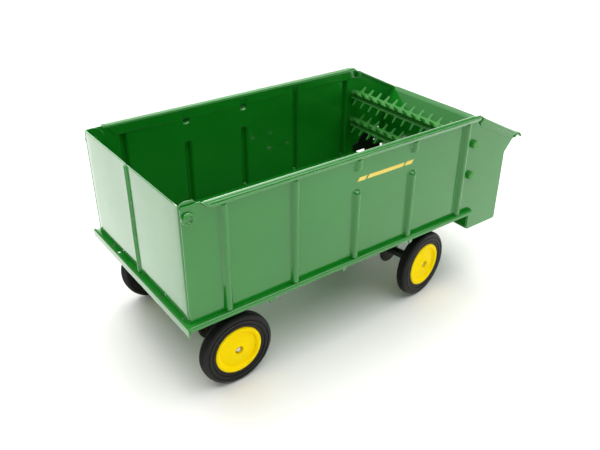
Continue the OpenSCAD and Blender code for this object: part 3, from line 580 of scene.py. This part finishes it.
# ------------------------------------------------------------------ tailgate
def tailgate():
    y = YI - 0.35 - T/2
    xf = -T/2 + 0.4
    E = 13.0
    pts = [(E, -y), (xf, -y), (xf, -1.05), (-1.55, -0.25), (-1.55, 0.25), (xf, 1.05), (xf, y), (E, y)]
    path = Path([(p.x, p.y) for p in fillet(pts, [0, 1.3, 0.3, 0.3, 0.3, 0.3, 1.3, 0], 6)])
    L = path.L
    s_of = lambda x: E - x                      # ear position to path length, right ear
    vs = lin(BED + 0.8, BED + 6.2, 0.3) + lin(BED + 6.2, 72, 1.1) + lin(72, 120, 5) + lin(120, 142, 1.0)
    us = []
    for a, b in zip(path.s, path.s[1:]): us += lin(a, b, 5)
    c = (s_of(3.7), 132.0)
    def ear(cx, cz, r, top):
        arc = [(s_of(cx + r*math.cos(math.radians(a))), cz + r*math.sin(math.radians(a))) for a in range(-50, 107, 6)]
        return [(s_of(0.4), BED + 0.9), (s_of(3.0), BED + 3.4), (s_of(6.0), BED + 4.6), (s_of(6.8), BED + 7), (s_of(6.8), 122.0)] + arc + top
    out = ear(4.6, 133.2, 8.2, [(s_of(1.0), 140.5), (s_of(-0.2), 139.7), (s_of(-1.4), TOP - 0.05)])
    left = ear(4.4, 132.2, 7.6, [(s_of(0.9), TOP), (s_of(-0.2), TOP - 0.05), (s_of(-1.4), TOP - 0.05)])
    out = out + [(L - a, b) for a, b in reversed(left)]
    # bottom edge runs straight between the two ears
    bm = flat_grid(us, vs, out, [(c[0], c[1], 1.66), (L - c[0], c[1], 1.66)])
    def P(u, v):
        q = path(u)
        k = 1 - sstep(2.5, 3.5, abs(q.y)) if abs(q.y) < 4 else 0
        w = 0.35*noise.noise(Vector((q.y*0.025, v*0.022, 5.5)))*sstep(12, 22, u)*(1 - sstep(L - 22, L - 12, u))
        # the foot of the sheet is bent in a little along a crease
        ay = abs(q.y)
        hz = 3.2 + (1.7*(1 - min(1, ay/60)) if q.y > 0 else 0)
        bow = 0.21*max(0, BED + 0.9 + hz - v)*sstep(2.2, 3.4, ay)*(1 - sstep(58.5, 63.0, ay))
        return (q.x + w + bow, q.y, v)
    V, F = sheet(bm, P)
    return finish_mesh("tailgate_sheet", (place(V), F), M_GREEN, "tailgate", ("tailgate",), 38)
tailgate()

def turned(name, profile, x, y, z, axis, body, mat, reps=(), n=64, smooth=35, r=0.2, rot=0.0, steered=False):
    V, F = lathe(smooth_profile(profile, r), n)
    bm = weld(V, F, 1e-5)
    rotm = {"+Y": Matrix.Rotation(math.radians(-90), 4, "X"), "-Y": Matrix.Rotation(math.radians(90), 4, "X"), "+Z": Matrix.Identity(4)}[axis]
    for v in bm.verts:
        p = rotm @ v.co + Vector((x, y, z))
        if steered:
            c, s = math.cos(STEER), math.sin(STEER)
            p = Vector((FRONT_X + p.x*c - p.y*s, p.x*s + p.y*c, p.z))
        v.co = MM(p)
    return finish_mesh(name, bm, mat, body, reps, smooth)

HEAD = [(0, -3.4), (2.6, -3.4), (3.0, -3.0), (3.0, -2.45), (1.6, -2.45), (1.6, 0), (3.9, 0), (3.95, 0.9), (3.6, 1.6), (2.95, 1.85), (2.45, 1.6), (2.0, 1.0), (1.4, 0.75), (0, 0.7)]
a = turned("hinge_rivet_right", HEAD, 3.7, -HW, 132, "-Y", "box", M_GREEN, ("tailgate_rivets",))
b = turned("hinge_rivet_left", HEAD, 3.7, HW, 132, "+Y", "box", M_GREEN, ("tailgate_rivets",))

# ------------------------------------------------------------------ beaters
def beater(name, z, node, phase):
    pitch, n = 9.6, 13
    span = pitch*(n-1)/2
    out = [(-span - 7.0, 1.5), (-span - 7.0, 4.1)]
    for i in range(n):
        c = -span + i*pitch
        out += [(c - 1.7, 4.12), (c - 1.25, 4.5), (c - 0.95, 6.0), (c - 0.62, 9.0), (c - 0.4, 9.5), (c, 9.62), (c + 0.4, 9.5), (c + 0.62, 9.0), (c + 0.95, 6.0), (c + 1.25, 4.5), (c + 1.7, 4.12)]
    out += [(span + 7.0, 4.1), (span + 7.0, 1.5)]
    V, F = [], []
    for q in range(4):
        a = math.radians(45 + 90*q + phase)
        n0 = len(V)
        for side in (1, -1):
            for (yy, r) in out:
                w = side*lerp(1.0, 0.42, max(0, min(1, (r - 4.4)/5.0)))
                V.append(Vector((r*math.cos(a) - w*math.sin(a), yy, r*math.sin(a) + w*math.cos(a))))
        m = len(out)
        F.append([n0 + i for i in range(m)]); F.append([n0 + m + i for i in reversed(range(m))])
        for i in range(m):
            j = (i+1) % m
            F.append([n0 + i, n0 + m + i, n0 + m + j, n0 + j])
    bm = bmesh.new()
    vv = [bm.verts.new(v) for v in V]
    for f in F: bm.faces.new([vv[i] for i in f])
    bmesh.ops.recalc_face_normals(bm, faces=bm.faces)
    sharp = [e for e in bm.edges if len(e.link_faces) == 2 and e.calc_face_angle(0) > 1.0]
    bmesh.ops.bevel(bm, geom=sharp, offset=0.13, segments=2, profile=0.6, affect="EDGES", clamp_overlap=True)
    prof = [(0, -HW - 2.6), (2.4, -HW - 2.6), (3.0, -HW - 2.1), (3.0, -YI + 0.5), (2.75, -YI + 1.5), (2.75, YI - 1.5), (3.0, YI - 0.5), (3.0, HW + 2.1), (2.4, HW + 2.6), (0, HW + 2.6)]
    v2, f2 = lathe(smooth_profile(prof, 0.25), 48)
    b2 = weld([Vector((v.x, v.z, v.y)) for v in v2], f2, 1e-5)
    me = bpy.data.meshes.new("tmp"); b2.to_mesh(me); b2.free(); bm.from_mesh(me); bpy.data.meshes.remove(me)
    for v in bm.verts: v.co = MM((231.0 + v.co.x, v.co.y, z + v.co.z))
    return finish_mesh(name, bm, M_NYLON, node, (node,), 35)
beater("beater_upper_reel", 117.5, "beater_upper", 0)
beater("beater_lower_reel", 93.2, "beater_lower", 0)

# ------------------------------------------------------------------ wheels
TW = 4.3
def tyre_profile():
    r0 = 16.65
    pts = [(r0, -TW + 0.7), (r0 + 0.9, -TW + 0.35), (r0 + 2.05, -TW + 0.15), (r0 + 2.2, -TW + 0.75), (r0 + 2.75, -TW + 0.75), (r0 + 2.9, -TW + 0.1), (r0 + 4.85, -TW), (r0 + 5.0, -TW + 0.65), (r0 + 5.5, -TW + 0.65), (r0 + 5.65, -TW + 0.02),
        (23.6, -TW + 0.35), (24.5, -TW + 0.95), (25.1, -TW + 1.7), (25.35, -TW + 2.7), (25.4, -0.55), (25.2, -0.45), (24.75, -0.32), (24.75, 0.32), (25.2, 0.45), (25.4, 0.55)]
    return pts + [(r, -h) for r, h in reversed(pts[:14])]
def hub_profile():
    w = TW
    return [(2.06, -w - 3.2), (4.4, -w - 3.2), (5.0, -w - 2.6), (5.2, -0.9), (12.4, -0.9), (13.2, -w + 1.3), (16.6, -w + 1.3), (16.6, w - 0.6), (16.2, w - 0.12), (15.5, w + 0.16), (14.7, w + 0.2), (13.9, w - 0.05),
        (13.4, w - 0.8), (13.05, w - 1.75), (12.3, w - 1.95), (11.8, w - 1.7), (8.0, w - 0.9), (5.0, w - 0.25), (3.4, w + 0.2), (2.9, w + 0.15), (2.75, w - 4.2), (2.06, w - 4.2)]
for end in ("rear", "front"):
    for side, s in (("right", -1), ("left", 1)):
        body = f"wheel_{end}_{side}"
        x = REAR_X if end == "rear" else 0.0
        ax = "+Y" if s > 0 else "-Y"
        st = end == "front"
        turned(f"tyre_{end}_{side}_ring", tyre_profile(), x, s*58.5, AXZ, ax, body, M_RUBBER, (f"tyre_{end}_{side}",), 160, 40, 0.16, steered=st)
        turned(f"hub_{end}_{side}_disc", hub_profile(), x, s*58.5, AXZ, ax, body, M_YELLOW, (f"hub_{end}_{side}",), 128, 40, 0.35, steered=st)
    # steel axle with turned, slightly domed ends
    h = 62.3 if end == "rear" else 62.0
    c1, c2 = ((1.1, 0.08), (1.65, 0.4)) if end == "rear" else ((0.7, 0.06), (1.1, 0.4))
    ap = [(0, -h), (c1[0], -h + c1[1]), (c2[0], -h + c2[1]), (2.0, -h + 1.0), (2.0, h - 1.0), (c2[0], h - c2[1]), (c1[0], h - c1[1]), (0, h)]
    turned(f"{end}_axle_rod", ap, REAR_X if end == "rear" else 0.0, 0, AXZ, "+Y", "box" if end == "rear" else "front_gear", M_STEEL, (f"{end}_axle",), 48, 40, 0.12, steered=(end == "front"))

# ------------------------------------------------------------------ running gear from the CAD outlines, with rolled edges
def rolled(node, width, mat, body, segs=3, angle=32):
    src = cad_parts[node]
    bm = bmesh.new(); bm.from_mesh(src.data)
    bmesh.ops.remove_doubles(bm, verts=bm.verts, dist=1e-6)
    bmesh.ops.dissolve_limit(bm, angle_limit=math.radians(0.6), verts=bm.verts, edges=bm.edges)
    bmesh.ops.recalc_face_normals(bm, faces=bm.faces)
    me = bpy.data.meshes.new(node + "_rolled"); bm.to_mesh(me); bm.free()
    ob = bpy.data.objects.new(node + "_rolled", me); bpy.context.scene.collection.objects.link(ob)
    md = ob.modifiers.new("b", "BEVEL"); md.width = width/1000; md.segments = segs; md.limit_method = "ANGLE"; md.angle_limit = math.radians(angle); md.harden_normals = False
    md.use_clamp_overlap = True
    with bpy.context.temp_override(object=ob, active_object=ob, selected_objects=[ob]):
        bpy.ops.object.modifier_apply(modifier=md.name)
    ob.data.shade_smooth(); ob.data.set_sharp_from_angle(angle=math.radians(35))
    ob.data.materials.clear(); ob.data.materials.append(mat)
    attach(ob, body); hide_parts(node)
    return ob
for node, w, mat, slot, body in (("rear_axle_bracket", 0.35, M_BLACK, "black_enamel", "box"), ("front_pedestal", 0.35, M_BLACK, "black_enamel", "box"),
        ("front_axle_carrier", 0.35, M_BLACK, "black_enamel", "front_gear"), ("tongue", 0.35, M_BLACK, "black_enamel", "tongue"),
        ("rear_spacers", 0.3, M_BLKPL, "black_plastic", "box"), ("front_spacers", 0.3, M_BLKPL, "black_plastic", "front_gear"),
        ("rear_bracket_rivets", 0.2, M_PLATED, "plated_steel", "box"), ("front_pedestal_rivets", 0.2, M_PLATED, "plated_steel", "box"),
        ("kingpin", 0.2, M_PLATED, "plated_steel", "box"), ("tongue_pin", 0.2, M_PLATED, "plated_steel", "front_gear")):
    rolled(node, w, mat, body)
rolled("outlet_plate", 0.2, M_BLACK, "box")

# ------------------------------------------------------------------ plain yellow stripes in the flat field between the ribs
def stripes(name, s, xc, cut):
    V, F = [], []
    P0 = side_P(cut)
    for (a, b) in ((-23.5, -17.0), (-15.4, 15.4), (17.0, 23.5)):
        zc, h, sl = 120.4, 1.25, 0.9
        bm = flat_grid(lin(a - 1, b + 1, 1.2), lin(-h, h, 0.6), [(a - sl, -h), (b - sl, -h), (b + sl, h), (a + sl, h)])
        def P(u, v):
            p = P0(xc + u, zc + v); return (p[0], p[1] + T/2 + 0.035, p[2])
        v1, f1 = sheet(bm, P, 0.06, 0.03, 2)
        n = len(V); V += v1; F += [[i + n for i in f] for f in f1]
    bm = weld(place(V, s < 0), F, 1e-8)
    finish_mesh(name, bm, M_DECAL, "box", smooth=30)
stripes("side_stripes_right", -1, 146.5, [2, 3])
stripes("side_stripes_left", 1, 97.5, [1, 2])

# ------------------------------------------------------------------ floor, light, camera
bm = bmesh.new(); bmesh.ops.create_grid(bm, x_segments=2, y_segments=2, size=6.0)
me = bpy.data.meshes.new("floor"); bm.to_mesh(me); bm.free()
floor = bpy.data.objects.new("floor", me); bpy.context.scene.collection.objects.link(floor)
m, nt, b = new_mat("floor_paper")
co = nt.nodes.new("ShaderNodeTexCoord").outputs["Object"]
nt.links.new(ramp(nt, noise_tex(nt, co, 6, 3), [(0.3, (0.885, 0.885, 0.868)), (0.7, (0.90, 0.90, 0.884))]), b.inputs["Base Color"])
b.inputs["Roughness"].default_value = 0.55; b.inputs["Specular IOR Level"].default_value = 0.25
me.materials.append(m)
w = bpy.data.worlds.new("studio"); bpy.context.scene.world = w; w.use_nodes = True
wt = w.node_tree; bg = wt.nodes["Background"]
# a bright backdrop behind the wagon, a dim room on the viewer's side
dv = wt.nodes.new("ShaderNodeTexCoord").outputs["Generated"]
sp = wt.nodes.new("ShaderNodeSeparateXYZ"); wt.links.new(dv, sp.inputs[0])
dn = wt.nodes.new("ShaderNodeVectorMath"); dn.operation = "DOT_PRODUCT"; wt.links.new(dv, dn.inputs[0]); dn.inputs[1].default_value = (0.25, 0.968, 0.0)
# a bright screen low behind the wagon, a paler horizon all round that is dimmer on the left, and a dark ceiling
flat = math_n(wt, "SQRT", math_n(wt, "SUBTRACT", 1.0001, math_n(wt, "MULTIPLY", sp.outputs[2], sp.outputs[2])), None)
side = math_n(wt, "DIVIDE", dn.outputs["Value"], flat)
lobe = math_n(wt, "POWER", math_n(wt, "MAXIMUM", mapr(wt, side, 0.83, 1.0, 0.0, 1.0), 0.0001), 1.5)
back = math_n(wt, "MULTIPLY", math_n(wt, "MULTIPLY", lobe, 5.0), mapr(wt, sp.outputs[2], 0.28, 0.54, 1.0, 0.0))
low = math_n(wt, "MULTIPLY", mapr(wt, sp.outputs[2], 0.05, 0.36, 1.9, 0.0), mapr(wt, sp.outputs[0], -0.8, 0.5, 0.12, 1.25))
d2 = wt.nodes.new("ShaderNodeVectorMath"); d2.operation = "DOT_PRODUCT"; wt.links.new(dv, d2.inputs[0]); d2.inputs[1].default_value = (0.45, 0.88, 0.0)
high = math_n(wt, "MULTIPLY", mapr(wt, sp.outputs[2], 0.52, 0.70, 0.0, 1.0), mapr(wt, d2.outputs["Value"], -0.25, 0.6, 0.05, 1.4))
tot = math_n(wt, "ADD", math_n(wt, "MAXIMUM", math_n(wt, "MAXIMUM", back, low), high), 0.05)
wt.links.new(tot, bg.inputs[1]); bg.inputs[0].default_value = (1.0, 1.0, 1.0, 1)
def area(name, loc, target, size, power, color=(1, 1, 1)):
    l = bpy.data.lights.new(name, "AREA"); l.shape = "RECTANGLE"; l.size, l.size_y = size; l.energy = power; l.color = color
    o = bpy.data.objects.new(name, l); bpy.context.scene.collection.objects.link(o)
    o.location = loc
    o.rotation_euler = (Vector(target) - Vector(loc)).to_track_quat("-Z", "Y").to_euler()
    return o
sun = bpy.data.lights.new("soft_sky", "SUN"); sun.energy = 3.5; sun.angle = math.radians(80); sun.color = (1.0, 0.998, 0.985)
suno = bpy.data.objects.new("soft_sky", sun); bpy.context.scene.collection.objects.link(suno)
suno.rotation_euler = Vector((-0.05, 0.04, -1.0)).to_track_quat("-Z", "Y").to_euler()
o = area("floor_glow", (-0.232, 0.16, 0.004), (-0.232, 0.16, 1.0), (0.125, 0.46), 0.066)
o.visible_camera = False
cam = bpy.data.cameras.new("camera"); camo = bpy.data.objects.new("camera", cam); bpy.context.scene.collection.objects.link(camo)
cam.sensor_width = 36.0; cam.lens = 40.2285; cam.clip_start = 0.01; cam.clip_end = 30
right = Vector((0.803156, -0.595735, 0.006287)); down = Vector((-0.294412, -0.406049, -0.865128)); fwd = Vector((0.51794, 0.692982, -0.501512))
rot = Matrix((right, -down, -fwd)).transposed().to_4x4()
camo.matrix_world = Matrix.Translation(Vector(((-131.815 - XM)/1000, -0.34612, 0.30585))) @ rot
bpy.context.scene.camera = camo
bpy.context.scene.view_settings.view_transform = "Standard"
bpy.context.scene.view_settings.look = "None"
